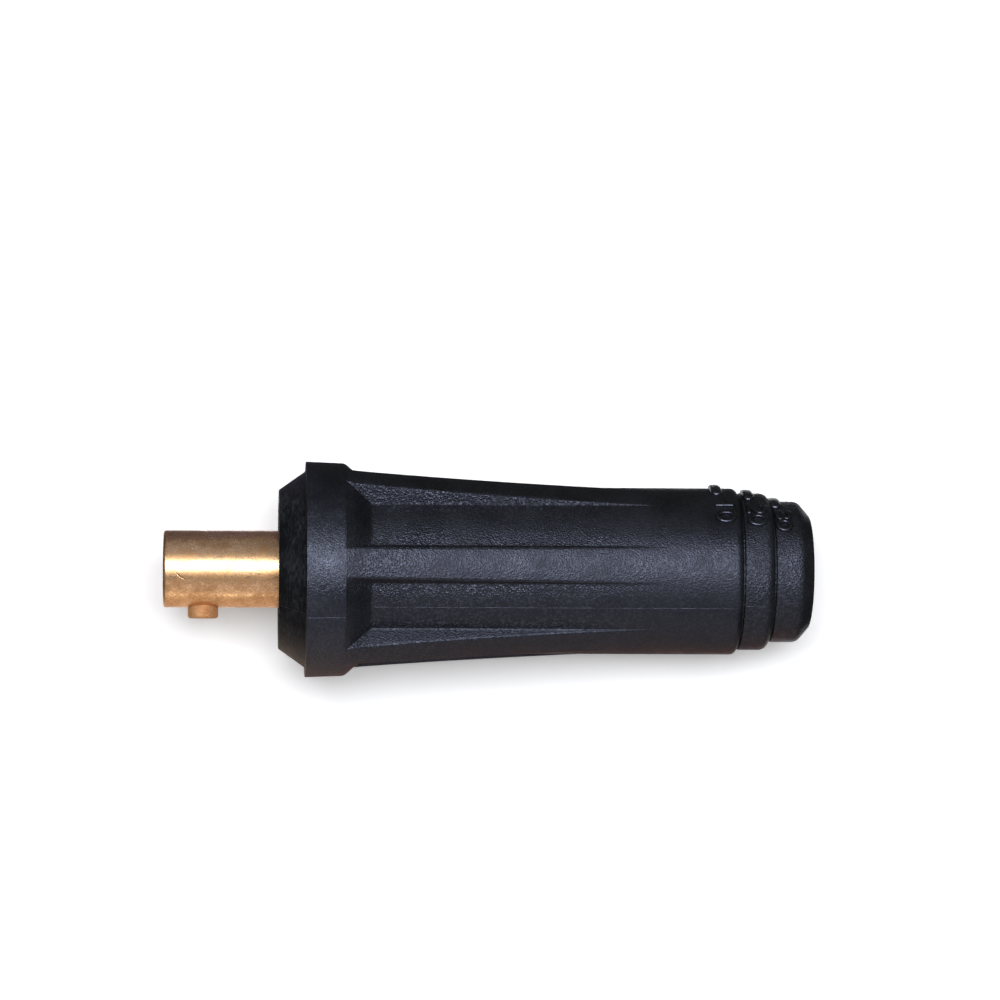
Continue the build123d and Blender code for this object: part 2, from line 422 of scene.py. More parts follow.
class Shader:
    """Small set of shader building blocks on one material, with object coordinates in millimetres."""

    def __init__(self, name: str) -> None:
        """Starts an empty material.

        Args:
            name: Name of the material.
        """
        self.material = bpy.data.materials.new(name)
        self.tree = new_tree(self.material)
        coordinates = add_node(self.tree, "TexCoord")
        self.place = self.vector_math("SCALE", coordinates.outputs["Object"], 1 / MM)

    def station(self, axis: PlugAxis) -> Socket:
        """Gives the length along the plug's axis in mm, from a fixed point."""
        return self.vector_math("DOT_PRODUCT", self.place, tuple(axis.towards_tail))

    def vector_math(self, operation: str, first: object, second: object = None) -> Socket:
        """Works on vectors.

        Args:
            operation: Name of the operation.
            first: First vector or socket.
            second: Second vector or socket, or the factor of a scaling.

        Returns:
            The result, a number for a dot product and otherwise a vector.
        """
        inputs = {0: first, ("Scale" if operation == "SCALE" else 1): second}
        node = add_node(self.tree, "VectorMath", inputs, operation=operation)
        return node.outputs["Value" if operation == "DOT_PRODUCT" else "Vector"]

    def math(self, operation: str, *values: object) -> Socket:
        """Works on numbers or sockets, by the name of the operation."""
        return add_node(self.tree, "Math", dict(enumerate(values)), operation=operation).outputs[0]

    def noise(
        self, size: float, detail: float = 2.0, roughness: float = 0.5, vector: object = None
    ) -> Socket:
        """Makes a noise pattern about one half, whose largest features have the size in mm."""
        inputs = {"Vector": vector or self.place, "Scale": 1 / size, "Detail": detail, "Roughness": roughness}
        return add_node(self.tree, "TexNoise", inputs).outputs["Fac"]

    def cells(self, size: float) -> tuple[Socket, Socket]:
        """Makes rounded cells: the distance from the nearest middle as a share of the size, and a chance colour."""
        node = add_node(self.tree, "TexVoronoi", {"Vector": self.place, "Scale": 1 / size})
        return node.outputs["Distance"], node.outputs["Color"]

    def spread(self, value: object, low: float, high: float, start: float = 0, end: float = 1) -> Socket:
        """Maps low and high to start and end, and what lies between them likewise, kept within that range."""
        inputs = {"Value": value, "From Min": low, "From Max": high, "To Min": start, "To Max": end}
        return add_node(self.tree, "MapRange", inputs, clamp=True).outputs[0]

    def blend(self, share: object, first: object, second: object) -> Socket:
        """Mixes two colours.

        Args:
            share: Share of the second colour.
            first: First colour or socket.
            second: Second colour or socket.

        Returns:
            The mixed colour.
        """
        node = add_node(self.tree, "Mix", data_type="RGBA")
        for socket, value in zip((node.inputs[0], node.inputs[6], node.inputs[7]), (share, first, second)):
            if isinstance(value, Socket):
                self.tree.links.new(value, socket)
            else:
                socket.default_value = value
        return node.outputs[2]

    def bump(self, height: object, depth: float, normal: object = None) -> Socket:
        """Turns heights into a bumped normal.

        Args:
            height: Height pattern from nought to one.
            depth: Height of its full range, in mm.
            normal: Normal to start from.

        Returns:
            The normal.
        """
        inputs = {"Height": height, "Distance": depth * MM, "Strength": 1.0}
        if normal is not None:
            inputs["Normal"] = normal
        return add_node(self.tree, "Bump", inputs).outputs[0]

    def finish(self, **values: object) -> bpy.types.Material:
        """Ends the material with one principled shader.

        Args:
            **values: Value or socket for each input, with spaces written as underscores.

        Returns:
            The material.
        """
        inputs = {name.replace("_", " "): value for name, value in values.items()}
        shader = add_node(self.tree, "BsdfPrincipled", inputs)
        add_node(self.tree, "OutputMaterial", {"Surface": shader.outputs[0]})
        return self.material


@dataclass(frozen=True)
class RubberLook:
    """Moulded black rubber, with a fine eroded grain that sparkles where the mould was left coarse.

    Attributes:
        dark: Colour of the bare compound.
        bloom: Colour where a thin bluish bloom has come to the surface.
        scuff: Colour of faint dusty streaks round the nose and the collar.
        roughness: Least and most roughness.
        grain_size: Size of the fine grain, in mm.
        grain_depth: Depth of the fine grain, in mm.
        sheen: Tint of what it mirrors, a cold blue from the bloom.
        specular: Strength of its mirroring, where one half is plain rubber.
        sparkle: How much stronger it is on a glinting grain.
        ring_stretch: Width of the lathe's rings against their length.
        patch_size: Size of the patches of bloom, in mm.
    """

    dark: str = "#080808"
    bloom: str = "#151616"
    scuff: str = "#262727"
    roughness: tuple[float, float] = (0.39, 0.56)
    grain_size: float = 0.24
    grain_depth: float = 0.17
    sheen: str = "#d6dfff"
    specular: float = 0.54
    sparkle: float = 2.4
    ring_stretch: float = 0.22
    patch_size: float = 7.0

    def build(self, axis: PlugAxis) -> bpy.types.Material:
        """Makes the material.

        The surface attribute grain says how coarse the mould was at each place, the attribute turned where
        it was left with the fine rings of a lathe, and the attribute polish how much the place mirrors.

        Args:
            axis: Axis of the rings.

        Returns:
            The material.
        """
        shader = Shader("moulded_black_rubber")
        grain, turned, polish = (
            add_node(shader.tree, "Attribute", attribute_name=mark).outputs["Fac"]
            for mark in ("grain", "turned", "polish")
        )
        along = shader.vector_math("SCALE", tuple(axis.towards_tail), shader.station(axis))
        rings = shader.vector_math("ADD", along, shader.vector_math("SCALE", shader.place, self.ring_stretch))
        distance, chance = shader.cells(1.25 * self.grain_size)
        cells = shader.spread(distance, 0, 0.75, 0, 0.7)
        pits = shader.math("MULTIPLY_ADD", shader.noise(2 * self.grain_size, 2.0), 0.3, cells)
        streaks = shader.noise(self.grain_size, 2.0, 0.6, rings)
        fine = shader.math("ADD", pits, shader.math("MULTIPLY", shader.math("SUBTRACT", streaks, pits), turned))
        broad = shader.noise(self.patch_size, 4.0, 0.6)
        height = shader.math("MULTIPLY", fine, shader.spread(grain, 0, 1, 0.15, 1.0))
        patches = shader.spread(shader.math("ADD", fine, broad), 0.8, 1.25)
        patches = shader.math("MULTIPLY", patches, shader.spread(turned, 0, 1, 1.0, 0.2))
        coarse = shader.math("MULTIPLY", grain, shader.spread(turned, 0, 0.8, 1.0, 0.12))
        glints = shader.math("MULTIPLY", shader.spread(chance, 0.62, 0.7), coarse)
        mirroring = shader.spread(glints, 0, 1, self.specular, self.sparkle * self.specular)
        glare = shader.math("MULTIPLY", polish, mirroring)
        smooth = shader.spread(polish, 1.3, 1.7, 1.0, 0.55)
        dullness = shader.spread(broad, 0.35, 0.65, *self.roughness)
        wisps = shader.math("MULTIPLY", shader.spread(shader.math("MULTIPLY", streaks, broad), 0.25, 0.4), turned)
        colour = shader.blend(patches, srgb(self.dark), srgb(self.bloom))
        return shader.finish(
            Base_Color=shader.blend(wisps, colour, srgb(self.scuff)),
            Roughness=shader.math("MULTIPLY", dullness, smooth),
            Specular_IOR_Level=glare,
            Specular_Tint=srgb(self.sheen),
            Normal=shader.bump(height, self.grain_depth),
        )


@dataclass(frozen=True)
class BrassLook:
    """Turned brass with fine rings from the tool, dulled and nicked by handling.

    Attributes:
        bright: Colour of the clean metal.
        dull: Colour of tarnished places.
        scratch_colour: Darker colour drawn along the scratch.
        roughness: Least and most roughness.
        groove_pitch: Distance between the rings of the turning tool, in mm.
        groove_depth: Depth of those rings, in mm.
        nick_size: Size of the small nicks, in mm.
        nick_depth: Depth of the small nicks, in mm.
        scratch: Station, place towards +Y and radius of the circle that the one long scratch lies on, in mm.
        scratch_end: Station where the scratch ends, in mm.
        scratch_side: Where it ends towards +Y, from the circle's middle, in mm.
        scratch_depth: Its depth, in depths of a nick.
        stain_size: Size of the tarnished places, in mm.
        speck_size: Size of the specks, in mm.
    """

    bright: str = "#edc497"
    dull: str = "#c6996b"
    scratch_colour: str = "#6b4a30"
    roughness: tuple[float, float] = (0.25, 0.42)
    groove_pitch: float = 0.12
    groove_depth: float = 0.0012
    nick_size: float = 0.36
    nick_depth: float = 0.011
    scratch: tuple[float, float, float] = (4.72, 0.75, 2.4)
    scratch_end: float = 4.22
    scratch_side: float = -1.1
    scratch_depth: float = 2.0
    stain_size: float = 2.6
    speck_size: float = 0.5

    def build(self, axis: PlugAxis, name: str = "turned_brass") -> bpy.types.Material:
        """Makes the material.

        The scratch is the part of a circle, seen from above, that lies in front of its end and towards -Y.

        Args:
            axis: Axis that the metal was turned about.
            name: Name of the material.

        Returns:
            The material.
        """
        shader = Shader(name)
        along = add_node(shader.tree, "CombineXYZ", {"X": shader.station(axis)}).outputs[0]
        rings = shader.noise(self.groove_pitch, 1.0, 0.5, along)
        stains = shader.noise(self.stain_size, 5.0, 0.65)
        specks = shader.noise(self.speck_size, 3.0, 0.6)
        nicks = shader.noise(self.nick_size, 2.0, 0.7)
        dust = shader.math("MULTIPLY", shader.math("ADD", specks, shader.noise(0.22, 0.0)), 0.45)
        tarnish = shader.spread(shader.math("ADD", stains, dust), 0.76, 1.12)
        middle = axis.tip / MM + self.scratch[0] * axis.towards_tail + self.scratch[1] * SIDE
        reach = shader.vector_math("SUBTRACT", shader.place, tuple(middle))
        flat = shader.vector_math("MULTIPLY", reach, (1.0, 1.0, 0.0))
        off = shader.math("SUBTRACT", shader.vector_math("DOT_PRODUCT", flat, flat), self.scratch[2] ** 2)
        scratch = shader.spread(shader.math("ABSOLUTE", off), 0.15, 0.6, 1, 0)
        ends = (self.scratch_end - self.scratch[0], self.scratch_side)
        for direction, end in zip(((1.0, 0.0, 0.0), (0.0, 1.0, 0.0)), ends):
            inside = shader.spread(shader.vector_math("DOT_PRODUCT", reach, direction), end - 0.2, end, 1, 0)
            scratch = shader.math("MULTIPLY", scratch, inside)
        height = shader.math("MULTIPLY_ADD", scratch, -self.scratch_depth, nicks)
        metal = shader.blend(tarnish, srgb(self.bright), srgb(self.dull))
        return shader.finish(
            # The scratch is drawn in a colour darker than the metal around it.
            Base_Color=shader.blend(scratch, metal, srgb(self.scratch_colour)),
            Metallic=1.0,
            Roughness=shader.spread(shader.math("ADD", stains, specks), 0.8, 1.25, *self.roughness),
            Normal=shader.bump(height, self.nick_depth, shader.bump(rings, self.groove_depth)),
        )


@dataclass(frozen=True)
class PlainMetalLook:
    """Metal with one colour and a faint mottle, for small pieces inside.

    Attributes:
        name: Name of the material.
        colour: Colour of the metal.
        roughness: Least and most roughness.
    """

    name: str
    colour: str
    roughness: tuple[float, float]

    def build(self) -> bpy.types.Material:
        """Makes the material."""
        shader = Shader(self.name)
        mottle = shader.noise(0.8, 3.0)
        return shader.finish(
            Base_Color=srgb(self.colour),
            Metallic=1.0,
            Roughness=shader.spread(mottle, 0.3, 0.7, *self.roughness),
            Normal=shader.bump(mottle, 0.004),
        )


@dataclass(frozen=True)
class Piece:
    """Piece of the plug.

    Attributes:
        axis: Axis of the plug.
        look: Material of the piece.
    """

    axis: PlugAxis
    look: bpy.types.Material


# Rubber sleeve


@dataclass(frozen=True)
class RibSize:
    """Grip ribs, in mm and degrees. Their sides lean by the draft and their crests fall towards the tail."""

    count: int = 6
    turn: float = 4.7
    height: float = 3.6
    length: float = 55.5
    crest_width: float = 5.0
    draft: float = 8.0
    hollow: float = 0.42
    edge_round: float = 0.4
    root_round: float = 0.4
    flare: float = 0.3
    flare_length: float = 0.9
    overlap: float = 0.5
    clearance: float = 0.03


@dataclass(frozen=True)
class SleeveSize:
    """Rubber sleeve, in mm. The stations count from the tip of the pin."""

    front: float = 19.3
    collar_front: float = 23.8
    collar_back: float = 30.4
    flute_front: float = 34.7
    body_end: float = 96.6
    middle_end: float = 102.0
    tail_end: float = 108.9
    nose_front_radius: float = 13.352
    nose_back_radius: float = 16.552
    collar_front_radius: float = 18.152
    collar_back_radius: float = 17.902
    body_radius: float = 14.05
    middle_radius: float = 13.25
    last_radius: float = 11.9
    groove_width: float = 0.3
    groove_depth: float = 0.6
    seat_back: float = 24.9
    seat_across_flats: float = 22.2
    seat_corner_radius: float = 12.402
    seat_bevel: float = 0.15
    barrel_bore: float = 10.6
    barrel_bore_end: float = 63.0
    body_bore: float = 9.5
    middle_bore: float = 8.4
    last_bore: float = 7.3
    mouth_bevel: float = 0.5
    tail_bevel_length: float = 2.1
    tail_bevel_drop: float = 2.45
    ribs: RibSize = RibSize()

    @property
    def outside(self) -> list[tuple[float, float, float]]:
        """Corners of the outside, from the front edge to the flat of the tail, each with its round."""
        middle_floor = self.middle_radius - self.groove_depth
        last_floor = self.last_radius - self.groove_depth
        middle_front = self.body_end + self.groove_width
        last_front = self.middle_end + self.groove_width
        return [
            (self.front, self.seat_corner_radius + 0.4, 0),
            (self.front, self.nose_front_radius, 0.4),
            (self.collar_front, self.nose_back_radius, 0.12),
            (self.collar_front, self.collar_front_radius, 0.12),
            (self.collar_back, self.collar_back_radius, 1.5),
            (self.flute_front, self.body_radius, 1.0),
            (self.body_end, self.body_radius, 1.7),
            (self.body_end, middle_floor, 0.1),
            (middle_front, middle_floor, 0.1),
            (middle_front, self.middle_radius, 0.2),
            (self.middle_end, self.middle_radius, 2.3),
            (self.middle_end, last_floor, 0.1),
            (last_front, last_floor, 0.1),
            (last_front, self.last_radius, 0.2),
            (self.tail_end - self.tail_bevel_length, self.last_radius, 1.7),
            (self.tail_end, self.last_radius - self.tail_bevel_drop, 0.7),
            (self.tail_end, self.last_bore + self.mouth_bevel + 0.2, 0),
        ]

    @property
    def inside(self) -> list[tuple[float, float, float]]:
        """Corners of the inside, from the mouth at the tail to the seat of the flange, each with its round."""
        return [
            (self.tail_end, self.last_bore + self.mouth_bevel + 0.1, 0),
            (self.tail_end, self.last_bore + self.mouth_bevel, 0.1),
            (self.tail_end - self.mouth_bevel, self.last_bore, 0.1),
            (self.middle_end, self.last_bore, 0.1),
            (self.middle_end - self.middle_bore + self.last_bore, self.middle_bore, 0.1),
            (self.body_end, self.middle_bore, 0.1),
            (self.body_end - self.body_bore + self.middle_bore, self.body_bore, 0.1),
            (self.barrel_bore_end + self.barrel_bore - self.body_bore, self.body_bore, 0.1),
            (self.barrel_bore_end, self.barrel_bore, 0.1),
            (self.seat_back, self.barrel_bore, 0),
        ]


@dataclass(frozen=True)
class MouldFinish:
    """What the mould left on each part of the sleeve. Grain is one where it is coarsest, and polish one on the body.

    Attributes:
        nose: Grain of the nose.
        collar: Grain of the collar.
        body: Grain of the body behind the ribs.
        steps: Grain of the tail steps.
        inside: Grain of the inside.
        crest: Grain of the ribs' crests at the collar, and where it has faded.
        crest_fade: Length over which it fades behind the flutes' front ends, in mm.
        floor: Grain in the middle of the flutes' floors, where one is that beside the ribs.
        smooth_side: Least grain beside the ribs, on the side of the plug that came out smooth.
        coarse_turn: Turn of the side that came out coarse, in degrees.
        coarse_width: How far round that side reaches, in degrees.
        full_rise: Height of a rib over which its grain is full, in mm.
        rim: Width behind the collar that still has its finish, in mm.
        turned_fade: Width over which the lathe's rings end there, in mm.
        collar_rings: Share of the lathe's rings on the collar, where one is that on the nose.
        nose_polish: Polish of the nose.
        collar_polish: Polish of the collar.
        flute_polish: Polish of the front ends of the flutes.
        flute_rise: Height over the body that counts as flute there, in mm.
    """

    nose: float = 0.2
    collar: float = 0.9
    body: float = 0.26
    steps: float = 0.5
    inside: float = 0.3
    crest: tuple[float, float] = (0.5, 0.26)
    crest_fade: float = 12.0
    floor: float = 0.45
    smooth_side: float = 0.3
    coarse_turn: float = 30.0
    coarse_width: float = 48.0
    full_rise: float = 0.9
    rim: float = 0.5
    turned_fade: float = 0.6
    collar_rings: float = 0.7
    nose_polish: float = 0.55
    collar_polish: float = 1.36
    flute_polish: float = 0.7
    flute_rise: float = 2.4


@dataclass(frozen=True)
class RubberSleeve(Piece):
    """The whole sleeve as one closed grid: the outside from front to tail, and the inside back to the front.

    Attributes:
        size: Sizes of the sleeve.
        finish: What the mould left on it.
    """

    BODY = Body.SLEEVE

    size: SleeveSize
    finish: MouldFinish = MouldFinish()

    def crest_radius(self, station: Array) -> Array:
        """Gives the radius of the ribs' crests: a straight fall with a shallow hollow, flared at the collar.

        Args:
            station: Stations in mm.

        Returns:
            The radius in mm, or nought outside the ribs' length.
        """
        size, ribs = self.size, self.size.ribs
        run_out = size.collar_back + ribs.length
        front = size.collar_back - ribs.overlap
        back = (run_out + size.body_end) / 2
        share = (station - front) / (back - front)
        fall = size.body_radius + (run_out - station) * ribs.height / ribs.length
        flare = ribs.flare * np.exp(-np.maximum(station - size.collar_back, 0) / ribs.flare_length)
        crest = fall - 4 * ribs.hollow * share * (1 - share) + flare
        crest = np.minimum(crest, size.collar_back_radius - ribs.clearance)
        return np.where((station > front) & (station < back), crest, 0)

    def rib_half_angle(self, radius: Array) -> Array:
        """Gives half of the angle that a rib spans at a radius, where its leaning side meets that circle.

        Args:
            radius: Radii in mm.

        Returns:
            Half angles in degrees.
        """
        ribs = self.size.ribs
        slope = math.tan(math.radians(ribs.draft))
        foot = ribs.crest_width / 2 + (self.size.body_radius + ribs.height) * slope
        reach = foot * slope + np.sqrt((foot * slope) ** 2 - (1 + slope**2) * (foot**2 - radius**2))
        reach /= 1 + slope**2
        return np.degrees(np.arctan2(foot - slope * reach, reach))

    def outside_rows(self) -> tuple[Array, Array, Array, Array]:
        """Builds the outside. In each row the columns follow the crest, edge, side, root and floor of each rib.

        Returns:
            Station, radius, turn and grain of each point, in rows and columns.
        """
        size, ribs, finish = self.size, self.size.ribs, self.finish
        outline = rounded_outline(size.outside)
        station, base = outline[:, :1], outline[:, 1:]
        crest = np.maximum(self.crest_radius(station), base)
        rise = crest - base
        at_edge = self.rib_half_angle(crest)
        at_root = np.maximum(self.rib_half_angle(base), at_edge + 0.2)
        span = at_root - at_edge
        edge_share = np.minimum(0.45, ribs.edge_round / np.maximum(rise, 1e-6))
        root_share = np.minimum(0.45, ribs.root_round / np.maximum(rise, 1e-6))
        edge_start = at_edge - np.degrees(ribs.edge_round / crest)
        root_end = at_root + np.degrees(ribs.root_round / base)
        curve = np.linspace(0, 1, 6)
        crown = np.array((0.0, 0.5, 0.93))
        floor = np.array((0.03, 0.15, 0.3, 0.45, 0.6, 0.8, 1.0))
        half_sector = 180 / ribs.count
        angle = np.hstack(
            (
                edge_start * crown,
                bend(edge_start, at_edge, at_edge + span * edge_share, curve),
                bend(at_root - span * root_share, at_root, root_end, curve),
                root_end + (half_sector - root_end) * floor,
            )
        )
        radius = np.hstack(
            (
                np.repeat(crest, len(crown), axis=1),
                bend(crest, crest, crest - rise * edge_share, curve),
                bend(base + rise * root_share, base, base, curve),
                np.repeat(base, len(floor), axis=1),
            )
        )
        crest_grain = np.interp(station, (size.collar_back, size.flute_front + finish.crest_fade), finish.crest)
        half_curve = len(curve) // 2
        crest_grain = crest_grain * np.ones(len(crown) + half_curve)
        floor_grain = np.interp(floor, (0.1, 0.5), (1.0, finish.floor))
        floor_grain = np.hstack((np.ones(half_curve + len(curve)), floor_grain)) * np.ones_like(station)
        grain = np.hstack((crest_grain, floor_grain))
        parts = (station < size.collar_front, station < size.collar_back, station <= size.body_end)
        plain = np.select(parts, (finish.nose, finish.collar, finish.body), finish.steps)
        turn = np.hstack((-angle[:, :0:-1], angle[:, :-1]))
        radius, grain = (np.hstack((half[:, :0:-1], half[:, :-1])) for half in (radius, grain))
        centres = ribs.turn + np.arange(ribs.count) * 2 * half_sector
        turn = np.hstack([turn + centre for centre in centres])
        radius, grain = np.tile(radius, ribs.count), np.tile(grain, ribs.count)
        from_coarse = (turn - finish.coarse_turn + 180) % 360 - 180
        on_ribs = (station > size.flute_front - finish.rim) & (radius > size.body_radius + 0.05) & (grain > 0.99)
        coarseness = np.exp(-((from_coarse / finish.coarse_width) ** 2))
        grain = np.where(on_ribs, finish.smooth_side + (1 - finish.smooth_side) * coarseness, grain)
        grain = plain + (grain - plain) * np.clip(rise / finish.full_rise, 0, 1)
        return np.broadcast_to(station, turn.shape), radius, turn, grain

    def inside_rows(self, columns: int) -> tuple[Array, Array, Array, Array]:
        """Builds the inside: the round bores and the seat of the hexagonal flange.

        Args:
            columns: Number of points in each row.

        Returns:
            Station, radius, turn and grain of each point, in rows and columns.
        """
        size = self.size
        corner_steps = 8
        side_steps = columns // 6 - corner_steps
        hexagon = Hexagon(size.seat_across_flats, size.seat_corner_radius)
        turn = hexagon.turns(corner_steps, side_steps)
        first_turn = self.size.ribs.turn - 180 / self.size.ribs.count
        shift = int(np.argmin(np.abs((turn - first_turn + 180) % 360 - 180)))
        turn = np.concatenate((turn[shift:], turn[:shift] + 360))
        turn += 360 * round((first_turn - turn[0]) / 360)
        bores = rounded_outline(size.inside, 4.0)
        seat = hexagon.radius(turn)
        middle = (size.seat_back + size.front) / 2
        seat_stations = (size.seat_back, size.seat_back - 0.1, middle, size.front + size.seat_bevel, size.front)
        ones = np.ones_like(turn)
        station = np.vstack((bores[:, :1] * ones, np.array(seat_stations)[:, None] * ones))
        widening = np.array((0, 0, 0, 0, size.seat_bevel))[:, None]
        radius = np.vstack((bores[:, 1:] * ones, seat * ones + widening))
        turn = np.broadcast_to(turn, station.shape)
        return station, radius, turn, np.full(station.shape, self.finish.inside)

    def build(self) -> None:
        """Adds the sleeve."""
        outside = self.outside_rows()
        inside = self.inside_rows(outside[0].shape[1])
        station, radius, turn, grain = (np.vstack(pair) for pair in zip(outside, inside))
        size, finish = self.size, self.finish
        rim_end = size.collar_back + finish.rim
        turned = np.where(radius > size.nose_front_radius, 1.0, 0.0)
        turned *= np.clip((rim_end - station) / finish.turned_fade, 0, 1)
        turned = np.where(station > size.collar_front, finish.collar_rings * turned, turned)
        edge = (size.collar_front, size.collar_front + 0.1)
        polish = np.interp(station, edge, (finish.nose_polish, finish.collar_polish))
        polish = np.where(station > rim_end, 1.0, polish)
        at_flutes = (station > rim_end + 0.1) & (station < size.flute_front - 0.4)
        polish = np.where(at_flutes & (radius < size.body_radius + finish.flute_rise), finish.flute_polish, polish)
        marks = {"grain": grain, "turned": turned, "polish": polish}
        piece = add_grid("sleeve_moulding", self.axis.place(station, radius, turn), True, marks)
        finish_piece(piece, self.BODY, Slot.RUBBER, self.look, "rubber_sleeve")


class Glyph(Enum):
    """Plain raised figures, and the block beside them."""

    BLOCK = "block"
    ZERO = "0"
    ONE = "1"
    TWO = "2"
    THREE = "3"


def arc_path(centre: tuple[float, float], reach: tuple[float, float], start: float, end: float) -> Array:
    """Draws an arc of an ellipse about a centre, with half its width and height, between angles in degrees."""
    angle = np.radians(np.linspace(start, end, 24))
    return np.column_stack((centre[0] + reach[0] * np.cos(angle), centre[1] + reach[1] * np.sin(angle)))


def glyph_strokes(glyph: Glyph) -> list[Array]:
    """Draws a figure by the middle lines of its strokes, in a cell one wide and one high.

    Args:
        glyph: The figure.

    Returns:
        The strokes. One that ends where it starts is a closed loop.
    """
    if glyph is Glyph.ZERO:
        return [arc_path((0.5, 0.5), (0.42, 0.5), 0, 360)]
    if glyph is Glyph.ONE:
        return [np.array(((-0.15, 0.68), (0.2, 0.84), (0.5, 1.0), (0.5, 0.5), (0.5, 0.0)))]
    if glyph is Glyph.TWO:
        hook = arc_path((0.5, 0.7), (0.4, 0.3), 165, -35)
        return [np.vstack((hook, ((0.1, 0.02),))), np.array(((0.1, 0.0), (0.5, 0.0), (0.9, 0.0)))]
    if glyph is Glyph.THREE:
        return [arc_path((0.45, 0.76), (0.36, 0.24), 150, -90), arc_path((0.45, 0.27), (0.42, 0.27), 90, -150)]
    return [np.array(((0.16, 0.5), (0.5, 0.5), (0.84, 0.5)))]


@dataclass(frozen=True)
class MarkSize:
    """Raised marks near the end of each tail step, in mm and degrees.

    Attributes:
        figure: Width and height of a figure. The width runs round the plug and the height along it.
        stroke: Width of a stroke.
        lift: Height of a stroke over the rubber.
        sink: Depth of its foot in the rubber.
        turns: Turns of the block and of the two figures.
        block: Length round the plug and width along it of the block, which is one thick stroke.
        block_lift: Height of the block over the rubber.
        setback: Distance of the figures' middle from the end of the step.
        block_setback: How much farther the block's middle is from it.
        bevel_setback: Distance of the last step's end from its bevel.
        tall: Height of the figures on each step, in heights of a figure.
        polish: How much the marks mirror, where one is plain rubber.
    """

    figure: tuple[float, float] = (2.3, 2.8)
    stroke: float = 0.86
    lift: float = 0.5
    sink: float = 0.15
    turns: tuple[float, float, float] = (79.0, 52.5, 41.5)
    block: tuple[float, float] = (6.2, 2.0)
    block_lift: float = 0.66
    setback: float = 2.8
    block_setback: float = 1.05
    bevel_setback: float = 0.2
    tall: tuple[float, float, float] = (1.0, 0.95, 0.75)
    polish: float = 1.7


@dataclass(frozen=True)
class CableSizeMarks(Piece):
    """Plain raised numbers on the three steps that are cut to suit the cable.

    Attributes:
        sleeve: Sizes of the sleeve.
        size: Sizes of the marks.
    """

    BODY = Body.SLEEVE

    sleeve: SleeveSize
    size: MarkSize

    def stroke_grid(self, path: Array, width: float, lift: float, radius: float) -> tuple[Array, bool]:
        """Sweeps a flattened round profile along a path on the cylinder, with round ends.

        At each point of the path the profile is half an ellipse over the rubber and a shallow one in it.
        The ends shrink like half a circle.

        Args:
            path: Station and distance round the cylinder of each point, in mm.
            width: Width of the stroke, in mm.
            lift: Height over the rubber, in mm.
            radius: Radius of the cylinder, in mm.

        Returns:
            Points in rows across the path, and whether the last row joins the first one.
        """
        closed = bool(np.allclose(path[0], path[-1]))
        steps = np.concatenate(([0], np.cumsum(np.linalg.norm(np.diff(path, axis=0), axis=1))))
        places = np.linspace(0, steps[-1], max(9, math.ceil(steps[-1] / 0.12)))
        line = np.column_stack([np.interp(places, steps, path[:, k]) for k in range(2)])
        heading = np.gradient(line, axis=0)
        if closed:
            heading[0] = heading[-1] = line[1] - line[-2]
        heading /= np.linalg.norm(heading, axis=1)[:, None]
        scale = np.ones(len(line))
        if not closed:
            cap = np.linspace(0, math.pi / 2, 6)[1:]
            overhang = width / 2 * np.sin(cap)[:, None]
            head, tail = line[0] - heading[0] * overhang[::-1], line[-1] + heading[-1] * overhang
            line = np.vstack((head, line, tail))
            scale = np.concatenate((np.cos(cap)[::-1], scale, np.cos(cap)))
            first, last = (np.repeat(end, len(cap), axis=0) for end in (heading[:1], heading[-1:]))
            heading = np.vstack((first, heading, last))
        else:
            line, heading, scale = line[:-1], heading[:-1], scale[:-1]
        angle = np.linspace(0, 2 * math.pi, 16, endpoint=False)
        across = np.sign(np.cos(angle)) * np.abs(np.cos(angle)) ** 0.7 * width / 2
        height = np.where(np.sin(angle) > 0, lift, self.size.sink) * np.sign(np.sin(angle))
        height = height * np.abs(np.sin(angle)) ** 0.65
        station = line[:, :1] - heading[:, 1:] * across * scale[:, None]
        around = line[:, 1:] + heading[:, :1] * across * scale[:, None]
        lifted = radius + height * scale[:, None]
        return self.axis.place(station, lifted, np.degrees(around / radius)), closed

    def build(self) -> None:
        """Adds the marks of the three steps."""
        sleeve, size = self.sleeve, self.size
        last_end = sleeve.tail_end - sleeve.tail_bevel_length - size.bevel_setback
        steps = (
            ("body", sleeve.body_end, sleeve.body_radius, Glyph.ONE),
            ("middle", sleeve.middle_end, sleeve.middle_radius, Glyph.TWO),
            ("last", last_end, sleeve.last_radius, Glyph.THREE),
        )
        for (place, end, radius, first), tall in zip(steps, size.tall):
            for number, (glyph, turn) in enumerate(zip((Glyph.BLOCK, first, Glyph.ZERO), size.turns)):
                is_block = glyph is Glyph.BLOCK
                width, height = size.block if is_block else size.figure
                lift = size.block_lift if is_block else size.lift
                middle = end - size.setback - (size.block_setback if is_block else 0)
                for stroke_number, stroke in enumerate(glyph_strokes(glyph)):
                    station = middle + (stroke[:, 1] - 0.5) * height * tall
                    around = math.radians(turn) * radius - (stroke[:, 0] - 0.5) * width
                    path = np.column_stack((station, around))
                    points, closed = self.stroke_grid(path, height if is_block else size.stroke, lift, radius)
                    marks = {"polish": np.full(points.shape[:2], size.polish)}
                    piece = add_grid(f"mark_{place}_{number}_{stroke_number}", points, closed, marks)
                    finish_piece(piece, self.BODY, Slot.RUBBER, self.look)


